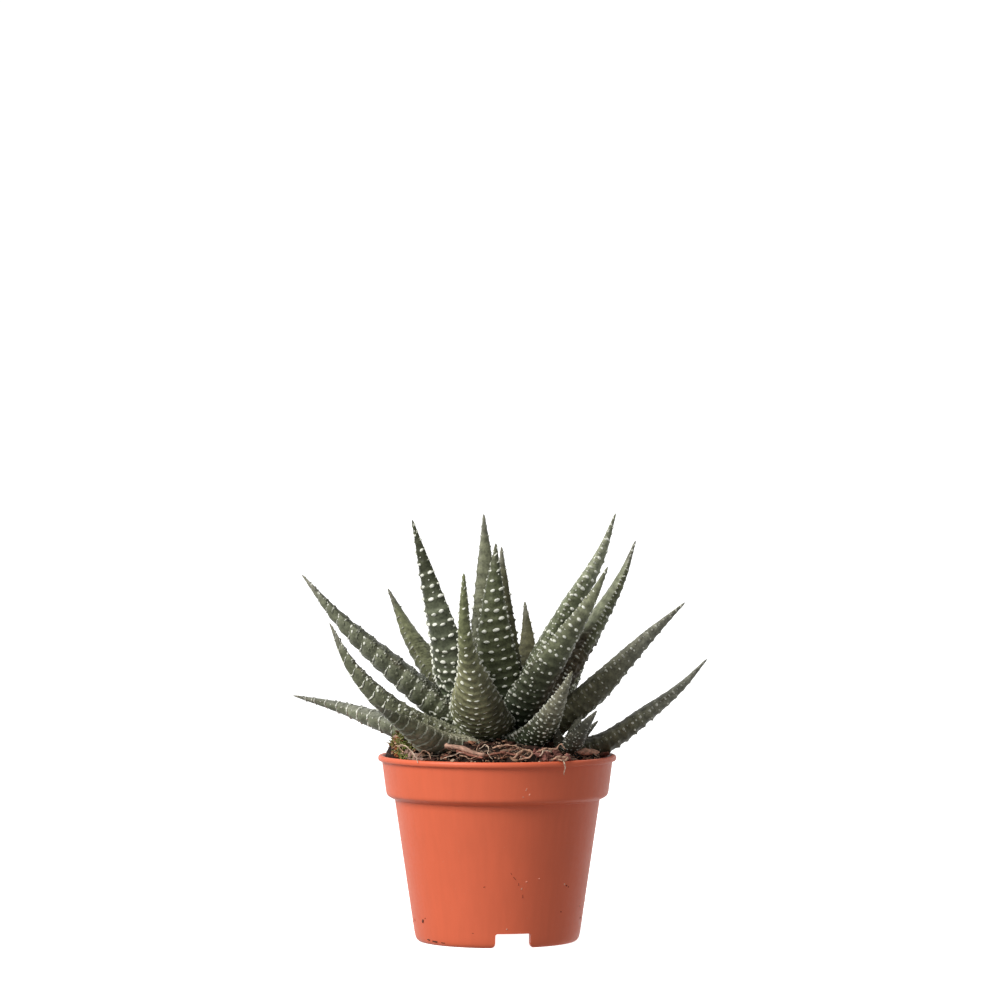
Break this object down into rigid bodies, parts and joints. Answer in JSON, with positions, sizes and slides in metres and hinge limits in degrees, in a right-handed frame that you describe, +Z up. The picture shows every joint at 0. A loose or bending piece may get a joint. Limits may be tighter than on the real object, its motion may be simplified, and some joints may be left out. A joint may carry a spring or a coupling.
{
  "type": "potted haworthia",
  "caption": "Haworthia succulent with thick pointed leaves covered in rows of raised white tubercles, in a round tapered nursery pot with a banded rim and notched foot.",
  "frame": {"origin": "centre of the pot's foot, on the surface that the pot stands on", "axes": "+Z up along the pot's axis; +X to the right and +Y to the back, seen from the pictured front; one foot notch opens towards -Y, slightly right of centre"},
  "size_m": [0.1488, 0.1105, 0.152],
  "materials": {
    "pot": "satin",
    "soil": "matte",
    "stem": "matte",
    "leaf": "satin"
  },
  "bodies": {
    "root": {"pot": "pot", "soil": "soil", "stem": "stem", "offset_stem": "stem", "leaf_front": "leaf", "leaf_front_short": "leaf", "leaf_front_left_low": "leaf", "leaf_front_right": "leaf", "leaf_front_left": "leaf", "leaf_centre": "leaf", "leaf_left": "leaf", "leaf_left_low": "leaf", "leaf_far_left_low": "leaf", "leaf_right_tall": "leaf", "leaf_right_back": "leaf", "leaf_right": "leaf", "leaf_right_low": "leaf", "leaf_centre_right": "leaf", "leaf_back_tall": "leaf", "leaf_back_left": "leaf", "leaf_back_short": "leaf", "leaf_back_steep": "leaf", "leaf_back_left_steep": "leaf", "leaf_back": "leaf", "leaf_back_right": "leaf", "leaf_back_far_right": "leaf", "leaf_back_far_left": "leaf", "leaf_back_left_low": "leaf", "leaf_back_low": "leaf", "leaf_back_right_low": "leaf", "leaf_heart": "leaf", "offset_leaf_front": "leaf", "offset_leaf_right": "leaf", "offset_leaf_back": "leaf", "offset_leaf_left": "leaf"}
  },
  "joints": []
}
